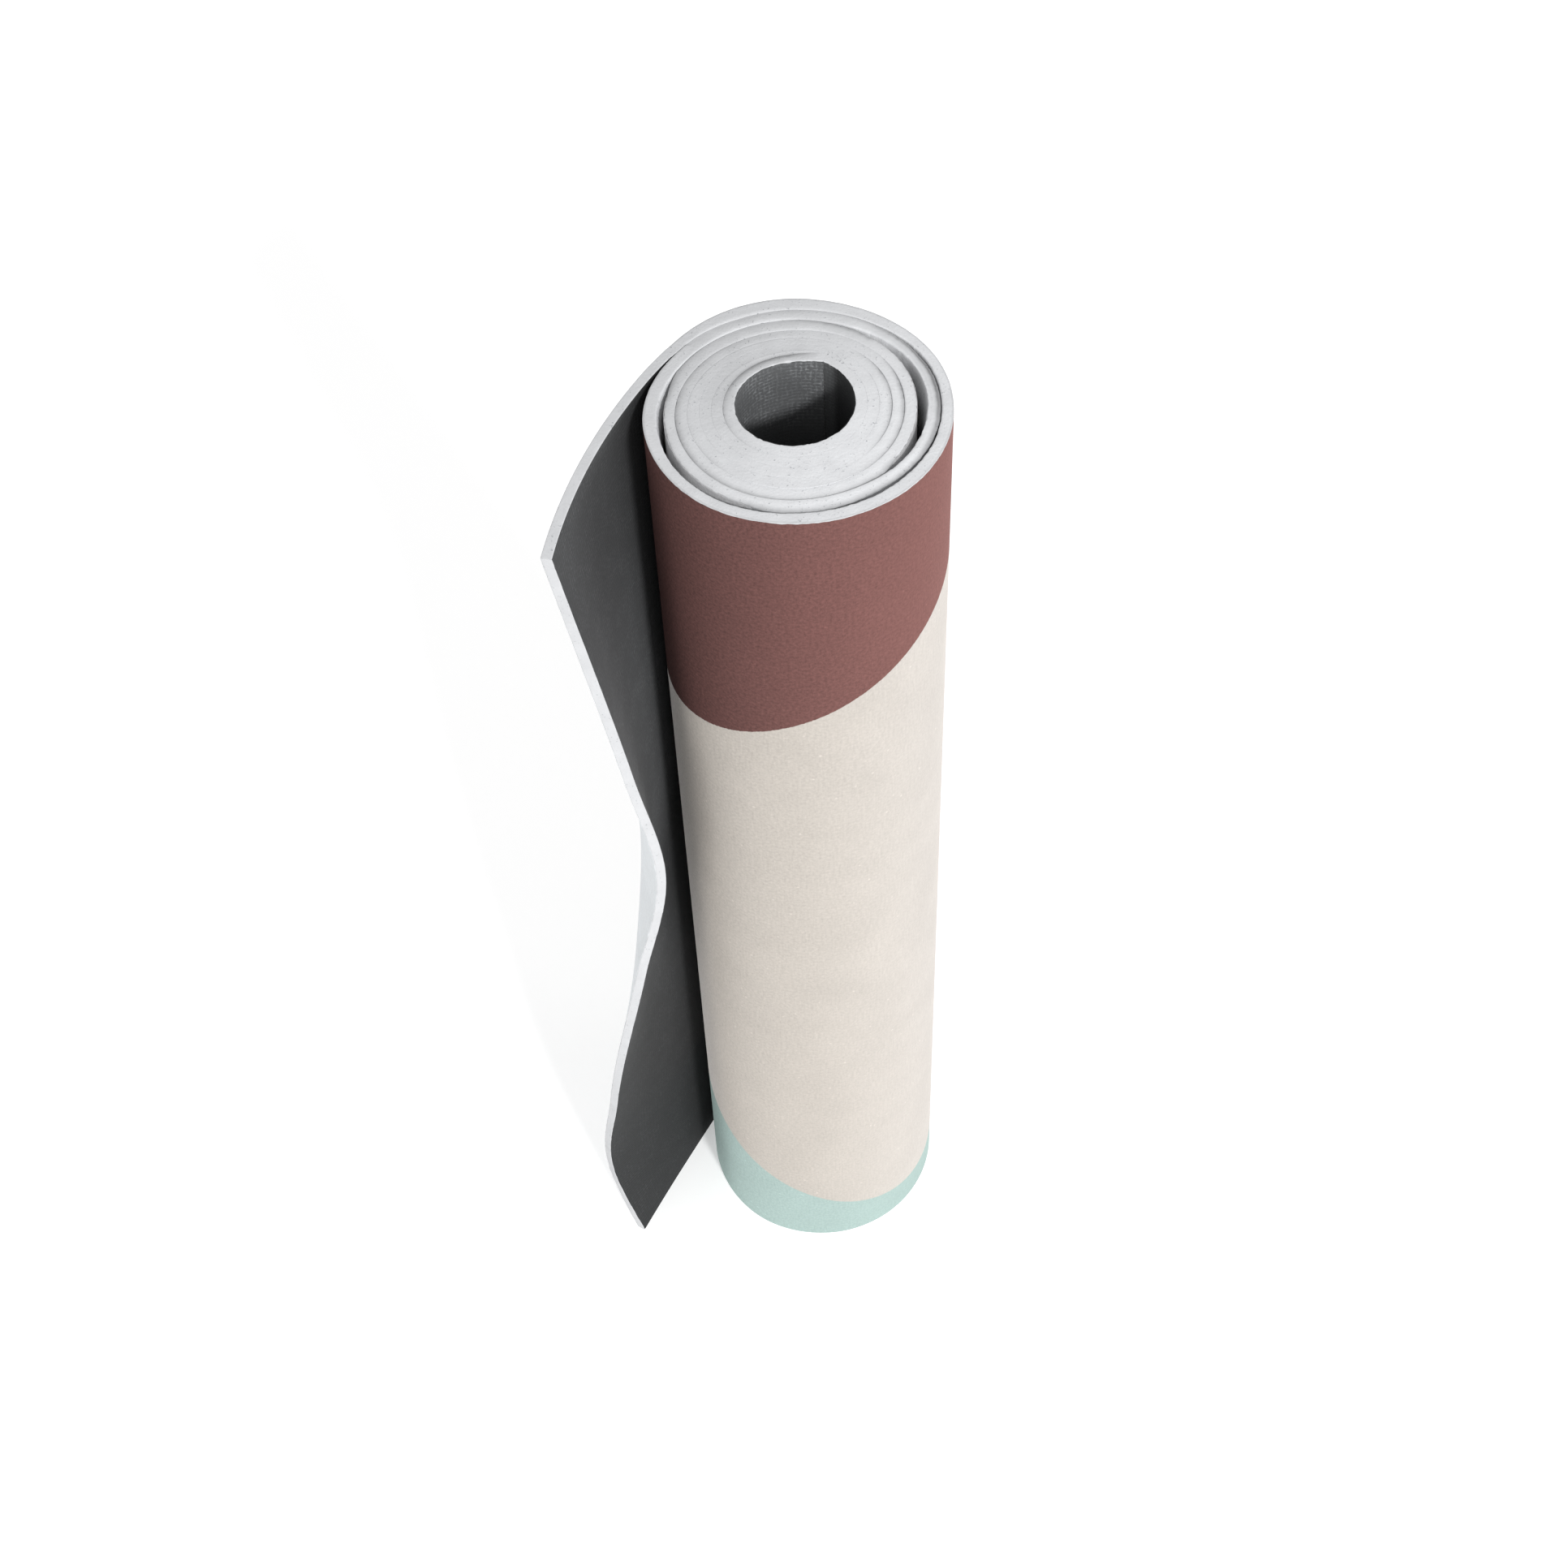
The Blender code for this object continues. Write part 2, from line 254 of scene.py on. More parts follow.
def curl_at(height):
    """Cubic through the listed curls, each with the slope that its neighbours give. Their places
    count the base as 0, the flare as 1, the tuck as 2 and the top as 3."""
    places = (0, FLARE_HEIGHT, TUCK_HEIGHT, MAT_WIDTH)
    knots = np.interp(CURL_PLACES, range(len(places)), places)
    slopes = np.gradient(CURLS, knots)
    k = np.clip(np.searchsorted(knots, height) - 1, 0, len(knots) - 2)
    span = knots[k + 1] - knots[k]
    t = (height - knots[k]) / span
    lower = (1 - t) ** 2 * ((1 + 2 * t) * CURLS[k] + t * span * slopes[k])
    return lower + t**2 * ((3 - 2 * t) * CURLS[k + 1] - (1 - t) * span * slopes[k + 1])


def free_length(height):
    """Length from the seam to the cut edge: it leans because the mat was rolled a little askew."""
    lean = (FREE_LENGTH_AT_TOP - FREE_LENGTH_AT_BASE) * height / MAT_WIDTH
    return SEAM_BEFORE_FLEX + FREE_LENGTH_AT_BASE + lean


def free_place(along, height, depth):
    """Point at this length from the seam, height and depth from the inner face: the lead-out's arc
    up to the hinge, then an arc that turns by the curl of that height over the rest."""
    back = np.minimum(along - SEAM_BEFORE_FLEX, 0)
    lead_chord, lead_side = arc(flex_heading, back, back / LEAD_OUT_RADIUS)
    past = np.maximum(along - SEAM_BEFORE_FLEX, 0)
    turning = curl_at(height) * past / (free_length(height) - SEAM_BEFORE_FLEX)
    free_chord, free_side = arc(flex_heading, past, turning)
    is_lead = (along < SEAM_BEFORE_FLEX)[..., None]
    side = np.where(is_lead, lead_side, free_side)
    plan = hinge + np.where(is_lead, lead_chord, free_chord)
    plan = plan + (depth - end_thickness / 2)[..., None] * side
    return np.concatenate([plan, height[..., None]], axis=-1)


# The foam core. Closed-cell foam 4.5 mm thick makes nearly the whole thickness of the mat, and is
# all that shows on its cut edges: pale grey, with fine pores, corners worn soft and slightly
# ragged from the knife. Where turns press on each other their rims bulge and meet.
BACKING_FILM = 0.20 * MM
PRINT_FILM = 0.12 * MM
# Radii of the section's corners
CLOSED_RADIUS = 0.04 * MM
PRESSED_RADIUS = 0.12 * MM
PRESSED_TO_TURN = 0.4
SHOWN_RADIUS = 0.30 * MM
OPEN_OUTER_RADIUS = 0.35 * MM
OPEN_RADIUS = 0.95 * MM
TORN_RADIUS = 0.7 * MM
TORN_LEVEL = 0.45
TORN_CLEAR_TURNS = 0.006
TORN_SHARE_OUTSIDE = 0.3
RADIUS_VARIATION = 0.6
RADIUS_LIMIT_SHARE = 0.45
SHARP_ANGLE = np.radians(50)
# How ragged and uneven the cut is, and how deep the walls below it stay so. It calms down
# towards the seam, and in the tight turns by the core.
RAGGED = 0.16 * MM
RAGGED_HEIGHT = 4 * MM
CALM_BEFORE_SEAM = (9 * MM, 2 * MM)
LOOSE_TURNS = (3.6, 4.6)
RIM_UNEVENNESS = 0.35 * MM
RIM_ROUGHNESS = 0.05 * MM
# How far a rim sinks to its edges: at open valleys, at the back, and by the inner end
OPEN_DROP = 0.15 * MM
OUTER_DROP = 1.1 * MM
BACK_DROP = 0.65 * MM
BACK_HALF_SPAN = np.radians(85)
CREST_REACH = 2.8
FIRST_DROP = 0.8 * MM
END_DIP = 0.3 * MM
END_DROP = 1.6 * MM
END_DROP_OUTSIDE = 0.6 * MM
DIP_TURN = 0.12
DIP_SPREAD = 0.03
DIP_START_TURNS = (0.01, 0.09)
# Widths of the gap between turns from which on, or over which, the rims change
LIP_GAPS = (0.8 * MM, 1.6 * MM)
FILLED_GAP = 1.2 * MM
FILLED_SPARE = 0.02 * MM
SLOPED_GAPS = (1.0 * MM, 2.0 * MM)
CLEAN_GAP = 1.0 * MM
SLOPE_LOSS = 0.85
WIDE_GAPS = (2 * MM, 4 * MM)
WIDE_RADIUS_LOSS = 0.5
GAP_FLARE = 0.45
VALLEY_FLATNESS = 0.55
# Painted shade at each place: on slopes, in valleys, by the inner end and on the last turn's outer
# edge, and more on the right of the outer turns and in the valley inside the last turn.
SECOND_TURN_SHADE = 0.8
THIRD_TURN_SHADE = 0.5
LAST_TURN_SHADE = 0.7
VALLEY_SHADE = 0.9
WIDE_WALL_SHADE = 1.6
RIGHT_SHADE_ANGLE = np.radians(12)
RIGHT_SHADE_HALF_SPAN = np.radians(55)
RIGHT_VALLEY_SHADE = 0.3
RIGHT_SLOPE_SHADE = 1.2
RIGHT_RIM_SHADE = 0.4

# Settings with which a node mixes colours
COLOURS = dict(data_type="RGBA", output=2)


def srgb(hex_colour):
    """A hex colour as linear light: ((c + 0.055) / 1.055) to the power 2.4, or c / 12.92 if low."""
    channels = np.array([int(hex_colour[i : i + 2], 16) / 255 for i in (1, 3, 5)])
    linear = np.where(channels <= 0.04045, channels / 12.92, ((channels + 0.055) / 1.055) ** 2.4)
    return (*linear, 1.0)


def set_inputs(node, values):
    """Gives each input, by its number or name, its value, or links it to the output given."""
    for key, value in values.items():
        if isinstance(value, bpy.types.NodeSocket):
            node.id_data.links.new(value, node.inputs[key])
        else:
            node.inputs[key].default_value = value


def new_material(name):
    """A new material, its shader, and the function that adds a node to it and gives back one of
    the node's outputs. Inputs are given in their order, or by name with a capital and _ for a
    space, or by number after a _. Names without a capital are the node's settings."""
    material = bpy.data.materials.new(name)
    material.use_nodes = True

    def add_node(kind, *inputs, output=0, **named):
        node = material.node_tree.nodes.new("ShaderNode" + kind)
        values = dict(enumerate(inputs))
        for key, value in named.items():
            if key[0].islower():
                setattr(node, key, value)
            else:
                values[int(key[1:]) if key[0] == "_" else key.replace("_", " ")] = value
        set_inputs(node, values)
        return node.outputs[output]

    return material, material.node_tree.nodes["Principled BSDF"], add_node


def mesh_piece(name, points, faces, material, uv=None):
    """Builds a mesh from whole arrays of points and of quads, smooth, with an optional UV map."""
    points = np.asarray(points, np.float32)
    faces = np.asarray(faces, np.int32)
    mesh = bpy.data.meshes.new(name)
    mesh.vertices.add(len(points))
    mesh.vertices.foreach_set("co", points.ravel())
    mesh.loops.add(faces.size)
    mesh.loops.foreach_set("vertex_index", faces.ravel())
    mesh.polygons.add(len(faces))
    mesh.polygons.foreach_set("loop_start", np.arange(0, faces.size, 4, dtype=np.int32))
    mesh.polygons.foreach_set("use_smooth", np.ones(len(faces), bool))
    if uv is not None:
        layer = mesh.uv_layers.new(name="unrolled")
        layer.uv.foreach_set("vector", np.asarray(uv, np.float32)[faces.ravel()].ravel())
    mesh.materials.append(material)
    mesh.update(calc_edges=True)
    mesh.validate()
    mesh.set_sharp_from_angle(angle=SHARP_ANGLE)
    piece = bpy.data.objects.new(name, mesh)
    bpy.context.scene.collection.objects.link(piece)
    return piece


def keep_values(piece, name, domain, values):
    """Stores one number for each point or face of a piece, for its material to read."""
    attribute = piece.data.attributes.new(name, "FLOAT", domain)
    attribute.data.foreach_set("value", np.asarray(values, np.float32).ravel())


def swept_ring(sections):
    """Quads of a closed profile carried along a path, with its two ends filled across.

    Sections are (stations, profile points, 3). The profile has an even number of points, listed
    as a loop whose first half lies on the inner side and second half on the outer side."""
    stations, count, _ = sections.shape
    index = np.arange(stations * count).reshape(stations, count)
    nxt = np.roll(index, -1, axis=1)
    walls = np.stack([index[:-1], index[1:], nxt[1:], nxt[:-1]], axis=-1).reshape(-1, 4)
    low = index[0]
    high = index[-1]
    half = count // 2
    i = np.arange(half - 1)
    first = np.stack([low[i], low[i + 1], low[count - 2 - i], low[count - 1 - i]], axis=-1)
    last = np.stack([high[i], high[count - 1 - i], high[count - 2 - i], high[i + 1]], axis=-1)
    return sections.reshape(-1, 3), np.concatenate([walls, first, last])


def rolled_sections(depths, heights):
    """Profile points at each station: the inner point plus the depth along the ray, and height."""
    plan = inner[:, None] + depths[..., None] * ray[:, None]
    return np.concatenate([plan, heights[..., None]], axis=-1)


def smooth_noise(place, step, seed):
    """Random heights between -1 and 1 on even knots, a step apart, joined by cosine eases."""
    knots = np.random.default_rng(seed).uniform(-1, 1, int(np.max(place) / step) + 3)
    index = (place / step).astype(int)
    ease = (1 - np.cos(np.pi * (place / step - index))) / 2
    return knots[index] * (1 - ease) + knots[index + 1] * ease


last_turn = turn > TURNS - 1
inner_open = np.where(turn < 1, 0, np.minimum(open_share(turn - 1), 1))
outer_open = np.where(last_turn, 0, np.minimum(open_share(turn), 1))
calm_from, calm_to = CALM_BEFORE_SEAM
to_seam = 1 - eased(station, seam_length - calm_from, seam_length - calm_to)
loose = eased(turn, *LOOSE_TURNS) * to_seam
back_drop = BACK_DROP * cosine_bump(angle_at(turn), SQUEEZE_ANGLE, BACK_HALF_SPAN) * loose
# How far this turn stands off from the next one out, and how far its rim spreads to close that
gap = np.clip(slack_of(turn + 1) - slack_of(turn), 0, None) * ~last_turn
lip = (gap + TURN_SPARE * outer_open) * (1 - eased(gap, *LIP_GAPS))
gap_inside = np.interp(turn - 1, turn, gap) * (turn > 1) * to_seam
wide_inside = eased(gap_inside, *WIDE_GAPS)
filled = (1 - np.minimum(gap / FILLED_GAP, 1)) * to_seam
filled_inside = np.where(turn < 1, 0, np.interp(turn - 1, turn, filled))
# Just past the inner end the rims of the first three turns dip, along a bell curve
past_end = np.exp(-((turn % 1 - DIP_TURN) ** 2) / DIP_SPREAD) * eased(turn % 1, *DIP_START_TURNS)
first_dip = past_end * (turn < 1)
second_dip = past_end * (turn > 1) * (turn < 2)
third_dip = past_end * (turn >= 2) * (turn < 3)
# Corner radii: small where a valley is shut, larger where it gapes, and crisp by the inner end
inner_radius = CLOSED_RADIUS + (OPEN_RADIUS - CLOSED_RADIUS) * inner_open
inner_radius = inner_radius * (1 - WIDE_RADIUS_LOSS * wide_inside)
inner_rise = np.maximum(inner_radius, back_drop)
inner_radius = np.maximum(inner_radius, CREST_REACH * back_drop) + END_DIP * second_dip
outer_radius = CLOSED_RADIUS + (OPEN_OUTER_RADIUS - CLOSED_RADIUS) * outer_open
outer_radius = np.where(turn < PRESSED_TO_TURN, PRESSED_RADIUS, outer_radius)
inner_radius = np.where(turn < 1, SHOWN_RADIUS, inner_radius)
outer_radius = np.where(last_turn, SHOWN_RADIUS, outer_radius)
inner_radius = SHOWN_RADIUS + (inner_radius - SHOWN_RADIUS) * to_seam
# Pressed rims part in dots, where the cut has torn out a cell
torn = np.clip(smooth_noise(station, 1.3 * MM, 16) - TORN_LEVEL, 0, 1)
torn = TORN_RADIUS * to_seam * torn
torn = torn * (np.abs(turn - 1) > TORN_CLEAR_TURNS) * (turn > TORN_CLEAR_TURNS)
inner_radius = inner_radius + torn
outer_radius = outer_radius + torn * np.where(last_turn, TORN_SHARE_OUTSIDE, 1)
vary = RADIUS_VARIATION * to_seam
inner_radius += np.minimum(inner_radius, SHOWN_RADIUS) * vary * smooth_noise(station, 2.3 * MM, 11)
outer_radius += np.minimum(outer_radius, SHOWN_RADIUS) * vary * smooth_noise(station, 2.0 * MM, 12)
inner_radius = np.minimum(inner_radius, thickness * RADIUS_LIMIT_SHARE)
outer_radius = np.minimum(outer_radius, thickness * RADIUS_LIMIT_SHARE)
# The rim is level in the pressed middle of the roll and uneven in its looser outer turns
foam_top = MAT_WIDTH - RIM_UNEVENNESS * loose * (1 + smooth_noise(station, 60 * MM, 13)) / 2
# Rolling has stretched the outer side of each turn, so its rim sinks outwards to an open valley,
# and all along the back of the looser turns. The second turn lies low behind the inner end.
inner_drop = OPEN_DROP * inner_open * to_seam + END_DROP * second_dip
inner_drop = inner_drop + END_DROP_OUTSIDE * third_dip
sloping = outer_open * to_seam * (1 - SLOPE_LOSS * eased(gap, *SLOPED_GAPS))
outer_drop = np.maximum(OUTER_DROP * sloping, back_drop * (turn < TURNS - 1))
outer_drop = outer_drop + END_DROP_OUTSIDE * second_dip + FIRST_DROP * first_dip
# A valley that is filled is shallower than its corners are wide
inner_rise = inner_rise * (1 - VALLEY_FLATNESS * filled_inside)
inner_rise = np.maximum(np.where(turn < 1, inner_radius, inner_rise), back_drop)
outer_rise = outer_radius * (1 - VALLEY_FLATNESS * filled)


def foam_profile():
    """Depths, heights and painted shade of the foam's section, listed round it: quarter ellipses at
    its four corners, straight walls that grow ragged below the rim, and a rim that sinks towards
    each edge by the square of the share of the way across, or by a lower power behind the inner
    end.

    Painted shade is 0 on a plain rim and rises up to 3 on the slopes to valleys, in the valleys,
    over the rounded outer corners and behind the inner end; walls within gaps get painted light,
    down to -1."""
    points = []

    def add_point(depth, height, shade_paint):
        points.append(np.stack([depth, height, shade_paint]))

    low_wall = np.full_like(thickness, BACKING_FILM)
    high_wall = thickness - PRINT_FILM
    low_edge = low_wall + RAGGED * to_seam * (1 + smooth_noise(station, 1.5 * MM, 14))
    high_edge = high_wall - RAGGED * to_seam * (1 + smooth_noise(station, 1.7 * MM, 15))
    # Narrow valleys are filled: the rims spread over the edges of the skins until they touch
    low_edge = low_edge * (1 - filled_inside)
    high_edge = high_edge + (thickness - FILLED_SPARE - high_edge) * filled + lip
    # Loose turns flare at their rims: below them each gap narrows
    low_wall = low_wall - GAP_FLARE * gap_inside
    power = 2 - np.maximum(second_dip, third_dip)
    # Painted shade on the slopes down to open valleys, on the rims just past the inner end and on
    # the last turn's outer edge
    outer_shade_paint = np.maximum(sloping, first_dip + SECOND_TURN_SHADE * second_dip)
    outer_shade_paint = np.where(last_turn, LAST_TURN_SHADE * to_seam, outer_shade_paint)
    inner_shade_paint = second_dip + THIRD_TURN_SHADE * third_dip
    # Painted shade on the right of the outer turns' rims and slopes, and in the valley inside the
    # last turn
    right_shade = cosine_bump(angle_at(turn), RIGHT_SHADE_ANGLE, RIGHT_SHADE_HALF_SPAN)
    right_shade_outside = right_shade * (turn > 5) * ~last_turn
    # Walls in gaps are painted lighter (painted light), and those of the widest gaps darker
    # (painted shade)
    apart = np.minimum(gap_inside / CLEAN_GAP, 1)
    gap_wall_paint = -apart * (1 - right_shade * last_turn) * (1 - WIDE_WALL_SHADE * wide_inside)
    valley_shade_paint = VALLEY_SHADE * inner_open * (1 - apart) + RIGHT_VALLEY_SHADE * right_shade * last_turn
    none = np.zeros_like(thickness)
    quarter = np.linspace(0, np.pi / 2, 5)
    base_quarter = np.linspace(0, np.pi / 2, 3)
    base_radius = np.minimum(SHOWN_RADIUS, thickness * RADIUS_LIMIT_SHARE)
    # Up the inner side
    for angle in base_quarter[::-1]:
        depth = low_wall + base_radius * (1 - np.cos(angle))
        add_point(depth, base_radius * (1 - np.sin(angle)), none)
    add_point(low_wall, foam_top - RAGGED_HEIGHT - 2 * gap_inside, gap_wall_paint)
    for angle in quarter:
        depth = low_edge + inner_radius * (1 - np.cos(angle))
        height = foam_top - inner_drop - inner_rise * (1 - np.sin(angle))
        shade_paint = inner_shade_paint + gap_wall_paint * np.cos(angle) ** 6 + valley_shade_paint * np.cos(angle) ** 2
        add_point(depth, height, shade_paint)
    # Across the rim
    left = low_edge + inner_radius
    right = high_edge - outer_radius
    for number, share in enumerate(np.linspace(0, 1, 6)[1:-1]):
        rough = RIM_ROUGHNESS * to_seam * smooth_noise(station, 1.4 * MM, 20 + number)
        sunk = inner_drop * (1 - share) ** power + outer_drop * share**power
        # Painted shade over the outer half of the rim, where it slopes down to a valley
        tone_marks = outer_shade_paint + RIGHT_SLOPE_SHADE * right_shade_outside
        tone_marks = tone_marks * np.where(last_turn, 0, 3 * share - 1.5)
        shade_paint = np.maximum(inner_shade_paint * (1 - 0.4 * share), tone_marks)
        shade_paint = shade_paint + RIGHT_RIM_SHADE * right_shade_outside
        add_point(left + (right - left) * share, foam_top - sunk + rough, shade_paint)
    # Down the outer side
    for angle in quarter[::-1]:
        depth = high_edge - outer_radius * (1 - np.cos(angle))
        height = foam_top - outer_drop - outer_rise * (1 - np.sin(angle))
        # Painted shade over the rounded outer corner, most on its upright side
        painted_shading = np.minimum(3 * sloping, 1) * (0.5 + 0.8 * np.cos(angle))
        add_point(depth, height, outer_shade_paint + painted_shading + RIGHT_RIM_SHADE * right_shade_outside)
    add_point(high_wall, foam_top - RAGGED_HEIGHT, outer_shade_paint)
    for angle in base_quarter:
        depth = high_wall - base_radius * (1 - np.cos(angle))
        add_point(depth, base_radius * (1 - np.sin(angle)), none)
    return np.stack(points, axis=-1)


def cut_foam():
    """Closed-cell foam, sliced: matte, pale grey, with scattered burst cells darker than the rest.
    They are about 0.3 mm wide in truth, and drawn twice as wide to be seen."""
    material, shader, add_node = new_material("closed_cell_foam_sliced")
    place = add_node("TexCoord", output="Object")
    pore = add_node("TexNoise", place, Scale=1 / (1.2 * MM), Detail=2.0)
    pore = add_node("MapRange", pore, 0.64, 0.72)
    patch = add_node("TexNoise", place, Scale=1 / (6 * MM), Detail=3.0)
    patch = add_node("MapRange", patch, 0.42, 0.58)
    pore = add_node("Math", pore, patch, operation="MULTIPLY")
    tone = add_node("TexNoise", place, Scale=1 / (9 * MM), Detail=4.0)
    colour = add_node("Mix", tone, _6=srgb("#C1C2C4"), _7=srgb("#D2D3D5"), **COLOURS)
    colour = add_node("Mix", pore, _6=colour, _7=srgb("#A2A4A7"), **COLOURS)
    # Painted light and shade: the foam is painted lighter towards the front right and a little
    # darker at the back left, by its direction from the roll's axis
    level = add_node("Mapping", place, Location=(-roll_axis[0], -roll_axis[1], 0), Scale=(1, 1, 0))
    outward = add_node("VectorMath", level, operation="NORMALIZE")
    to_back_left = add_node(
        "VectorMath", outward, (-0.707, 0.707, 0), operation="DOT_PRODUCT", output="Value"
    )
    front_light_and_shade = add_node("MapRange", to_back_left, -1, 1, 1.25, 0.95)
    # Painted shade from -1 to 3 darkens it above 0, and below 0 it is painted light that brightens
    # it
    shade_paint = add_node("Attribute", attribute_name="painted_shade_amount", output="Fac")
    painted_shading = add_node("MapRange", shade_paint, -1, 3, 1.28, 0.16)
    front_light_and_shade = add_node("Math", front_light_and_shade, painted_shading, operation="MULTIPLY")
    colour = add_node("VectorMath", colour, operation="SCALE", Scale=front_light_and_shade)
    # Upright faces are painted darker than the rims (painted shade), except where the attribute
    # below spares them
    facing = add_node("TexCoord", output="Normal")
    upward = add_node("SeparateXYZ", facing, output="Z")
    rim = add_node("MapRange", upward, 0.1, 0.9)
    spared_upright_shade = add_node("Attribute", attribute_name="spared_upright_shade", output="Fac")
    rim = add_node("Math", rim, spared_upright_shade, operation="MAXIMUM")
    shaded_upright = add_node("Mix", 1.0, _6=colour, _7=srgb("#E0E0E0"), blend_type="MULTIPLY", **COLOURS)
    colour = add_node("Mix", rim, _6=shaded_upright, _7=colour, **COLOURS)
    coat = add_node("Attribute", attribute_name="coated", output="Fac")
    colour = add_node("Mix", coat, _6=colour, _7=srgb("#4C4D4F"), **COLOURS)
    cells = add_node("TexNoise", place, Scale=1 / (1.2 * MM), Detail=4.0)
    relief = add_node("Math", pore, -0.6, cells, operation="MULTIPLY_ADD")
    bump = add_node("Bump", Strength=0.5, Distance=0.4 * MM, Height=relief)
    set_inputs(shader, {"Base Color": colour, "Normal": bump})
    shader.inputs["Roughness"].default_value = 0.85
    shader.inputs["Specular IOR Level"].default_value = 0.3
    return material


foam_material = cut_foam()
foam_depths, foam_heights, foam_shade_paint = foam_profile()
points, faces = swept_ring(rolled_sections(foam_depths, foam_heights))
roll_foam = mesh_piece("roll_foam_core", points, faces, foam_material)
keep_values(roll_foam, "painted_shade_amount", "POINT", foam_shade_paint)
# The coating ran over the inner end's cut, but for its topmost quads by the rim
half_count = foam_depths.shape[1] // 2
inner_cut = len(faces) - 2 * (half_count - 1)
coated = np.zeros(len(faces))
coated[inner_cut : inner_cut + 4] = 1
keep_values(roll_foam, "coated", "FACE", coated)
# Within the roll the walls are as pale as the rims; only the last turn's outer side gets the
# painted shade of upright faces, which also hides the highlight on its rounded edge
spared_upright_shade = np.ones(foam_shade_paint.shape)
spared_upright_shade[last_turn, half_count:] = 0
keep_values(roll_foam, "spared_upright_shade", "POINT", spared_upright_shade)
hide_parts("roll_foam")
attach(roll_foam, "roll")


# The free end's foam is the same core, past the line where the mat flexes. Its cut edge and its
# two rims are rounded by wear, and its faces wander a little where the knife went.
WANDER_FADE = 2 * MM
EDGE_SEED = 31


def free_grid(near_edge, columns, rows):
    """Shares and distances that lay a grid over the free end: columns evenly from the seam to a
    strip by the cut edge, then at the listed distances from it; rows the same at both ends."""
    last = near_edge[0]
    share = np.append(np.linspace(0, 1, columns), np.ones(len(near_edge) - 1))
    back = np.append(np.full(columns, last), near_edge[1:])
    low = near_edge[::-1]
    between = np.linspace(last, MAT_WIDTH - last, rows)[1:-1]
    return share, back, np.concatenate([low, between, MAT_WIDTH - low[::-1]])


def grid_lengths(share, back, height, margin):
    """Lengths from the seam at the grid's points: the share of the way to the strip, and back from
    the cut edge within it. With the points' heights, and the full length at each."""
    back = np.broadcast_to(back, (len(height), len(back)))
    level = np.broadcast_to(height[:, None], back.shape)
    reach = free_length(level) - margin
    return (reach - back[0, 0]) * share + (back[0, 0] - back), level, reach


def slab(share, back, height, low_depth, high_depth, margin, radius):
    """Two faces of a sheet over the same grid, drawn together by a quarter circle near its three
    cut edges, and moved by noise within 2 mm of the cut edge."""
    along, level, reach = grid_lengths(share, back, height, margin)
    level = margin + level * (MAT_WIDTH - 2 * margin) / MAT_WIDTH
    from_edge = np.minimum(np.minimum(reach - along, level - margin), MAT_WIDTH - margin - level)
    near = np.clip(1 - from_edge / radius, 0, 1)
    draw_in = radius * (1 - np.sqrt(1 - near**2))
    fade = np.clip(1 - (reach - along) / WANDER_FADE, 0, 1)
    faces_places = []
    for number, depth in enumerate((low_depth + draw_in, high_depth - draw_in)):
        wander = RAGGED * smooth_noise(level[:, -1], 2.4 * MM, EDGE_SEED + number)
        faces_places.append(free_place(along + wander[:, None] * fade, level, depth))
    return np.stack(faces_places)


def slab_mesh(places, across):
    """Quads over both faces, and over the cut edges and the seam, in this many steps across."""
    _, rows, columns, _ = places.shape
    inner_face, outer_face = places
    index = np.arange(rows * columns).reshape(rows, columns)
    offset = rows * columns
    grid = np.stack([index[:-1, :-1], index[1:, :-1], index[1:, 1:], index[:-1, 1:]], axis=-1)
    grid = grid.reshape(-1, 4)
    faces = [grid, grid[:, ::-1] + offset]
    # The rim runs round the sheet's border: along the base, up the cut edge, back, down the seam
    border = np.concatenate([index[0, :-1], index[:-1, -1], index[-1, :0:-1], index[:0:-1, 0]])
    points = [inner_face.reshape(-1, 3), outer_face.reshape(-1, 3)]
    a, b = points[0][border], points[1][border]
    steps = np.arange(1, across) / across
    between = a[:, None] + (b - a)[:, None] * steps[None, :, None]
    points.append(between.reshape(-1, 3))
    ladder = np.empty((len(border), across + 1), int)
    ladder[:, 0] = border
    ladder[:, -1] = border + offset
    ladder[:, 1:-1] = 2 * offset + np.arange(len(border) * (across - 1)).reshape(len(border), -1)
    nxt = np.roll(ladder, -1, axis=0)
    rim = np.stack([ladder[:, :-1], nxt[:, :-1], nxt[:, 1:], ladder[:, 1:]], axis=-1)
    faces.append(rim.reshape(-1, 4))
    return np.concatenate(points), np.concatenate(faces)


near_edge = np.array([1.6, 1.0, 0.6, 0.4, 0.25, 0.12, 0.03, 0.0]) * MM
share, back, height = free_grid(near_edge, columns=64, rows=420)
places = slab(share, back, height, BACKING_FILM, end_thickness - PRINT_FILM, 0, SHOWN_RADIUS)
points, faces = slab_mesh(places, across=6)
free_foam = mesh_piece("free_end_foam_core", points, faces, foam_material)
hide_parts("free_end_foam")

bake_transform(free_foam)


# The printed face. A brushed microfibre, like suede, is bonded over the foam on the outer side and
# dyed through in large flat colours. Its nap runs across the mat, so it shows fine upright streaks.
# It ends a little below the rim, but not on the last turn or in a gap, where its edge shows.
SKIN_BASE = SHOWN_RADIUS
SKIN_EDGE_RADIUS = 0.02 * MM
HIDDEN_MARGIN = 1.2 * MM
SHOWN_MARGIN_SHARE = 0.1
EDGE_SHOWN_GAP = 1.0 * MM
BORDER_BLEED = 1.0 * MM
BORDER_EASE = 0.2 * MM
TAIL_BEFORE_SEAM = 16 * MM
# Lengths along the mat where the outermost turn begins to show, and where the painted shade on its
# left side has eased out
show_start = seam_length - 0.40
show_end = seam_length - 0.16
# Settings with which a node's change from one value to another is smooth
EASED = dict(interpolation_type="SMOOTHSTEP")


